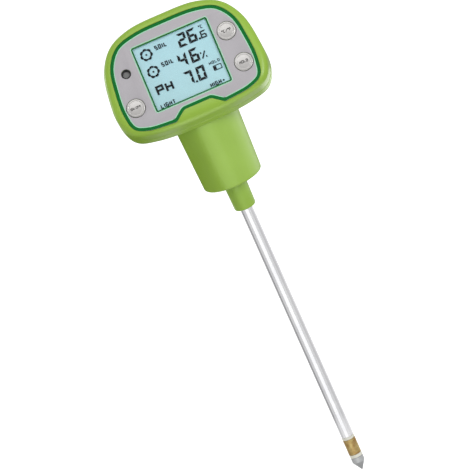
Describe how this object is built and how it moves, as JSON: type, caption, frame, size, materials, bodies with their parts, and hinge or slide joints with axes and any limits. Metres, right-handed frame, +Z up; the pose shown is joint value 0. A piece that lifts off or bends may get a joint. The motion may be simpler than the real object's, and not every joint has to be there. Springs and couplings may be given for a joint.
{
  "type": "digital soil meter with a probe",
  "caption": "Hand-held soil meter: a wide display head, tilted back on a tapered grip, with push buttons, a light sensor and a long pointed metal probe with a brass band.",
  "frame": {"origin": "the point of the probe, on the probe's axis", "axes": "+Z up along the probe towards the head, -Y the side that the display looks to, +X to the right of somebody who reads the display"},
  "size_m": [0.1076, 0.0635, 0.3444],
  "materials": {
    "green_plastic": "satin moulded plastic",
    "faceplate_foil": "light grey printed foil with dark green border",
    "button_plastic": "pearl grey",
    "black_plastic": "moulded",
    "white_plastic": "moulded",
    "clear_window": "clear acrylic",
    "display_glass": "reflective liquid crystal display",
    "circuit_board": "solder mask",
    "rubber_parts": "moulded rubber",
    "steel_fixings": "zinc plated",
    "probe_metal": "polished",
    "tip_metal": "turned, dull",
    "brass_parts": "satin",
    "battery_skin": "printed metal jacket",
    "foam": "open-cell foam",
    "red_insulation": "lead insulation",
    "black_insulation": "lead insulation",
    "white_insulation": "lead insulation",
    "orange_insulation": "lead insulation",
    "blue_insulation": "lead insulation"
  },
  "bodies": {
    "meter": {"front_cover": "green_plastic", "rear_housing": "green_plastic", "probe_collar": "green_plastic", "faceplate": "faceplate_foil", "display_lens": "clear_window", "lcd_glass": "display_glass", "lcd_holder": "white_plastic", "lcd_backlight": "white_plastic", "zebra_strip_upper": "rubber_parts", "zebra_strip_lower": "rubber_parts", "main_board": "circuit_board", "controller_chip": "black_plastic", "crystal_can": "steel_fixings", "smoothing_capacitor": "black_plastic", "probe_connector": "white_plastic", "housing_screw_1": "steel_fixings", "housing_screw_2": "steel_fixings", "housing_screw_3": "steel_fixings", "housing_screw_4": "steel_fixings", "board_screw_1": "steel_fixings", "board_screw_2": "steel_fixings", "board_screw_3": "steel_fixings", "board_screw_4": "steel_fixings", "power_switch": "black_plastic", "unit_switch": "black_plastic", "hold_switch": "black_plastic", "light_cell": "tip_metal", "sensor_shroud": "black_plastic", "battery_9v": "battery_skin", "battery_snap": "black_plastic", "battery_lead_red": "red_insulation", "battery_lead_black": "black_insulation", "collar_seal": "rubber_parts", "collar_nut": "steel_fixings", "probe_tube": "probe_metal", "upper_insulator": "white_plastic", "brass_band": "brass_parts", "lower_insulator": "white_plastic", "probe_tip": "tip_metal", "probe_core": "white_plastic", "thermistor": "black_plastic", "probe_lead_tip": "white_insulation", "probe_lead_band": "orange_insulation", "probe_lead_tube": "blue_insulation"},
    "battery_cover": {"battery_door": "green_plastic", "door_foam_pad": "foam"},
    "power_key": {"power_button": "button_plastic", "power_plunger": "black_plastic"},
    "unit_key": {"unit_button": "button_plastic", "unit_plunger": "black_plastic"},
    "hold_key": {"hold_button": "button_plastic", "hold_plunger": "black_plastic"}
  },
  "joints": [
    {"name": "battery_door_hinge", "type": "hinge", "parent": "meter", "child": "battery_cover", "pos_m": [0, 0.021, 0.235], "axis": [-1, 0, 0], "range_deg": [0, 60]},
    {"name": "power_button_press", "type": "slide", "parent": "meter", "child": "power_key", "axis": [0, 0.8192, -0.5736], "range_m": [0, 0.0005], "stiffness_N_per_m": 2000, "springref_m": -0.0003},
    {"name": "unit_button_press", "type": "slide", "parent": "meter", "child": "unit_key", "axis": [0, 0.8192, -0.5736], "range_m": [0, 0.0005], "stiffness_N_per_m": 2000, "springref_m": -0.0003},
    {"name": "hold_button_press", "type": "slide", "parent": "meter", "child": "hold_key", "axis": [0, 0.8192, -0.5736], "range_m": [0, 0.0005], "stiffness_N_per_m": 2000, "springref_m": -0.0003}
  ]
}
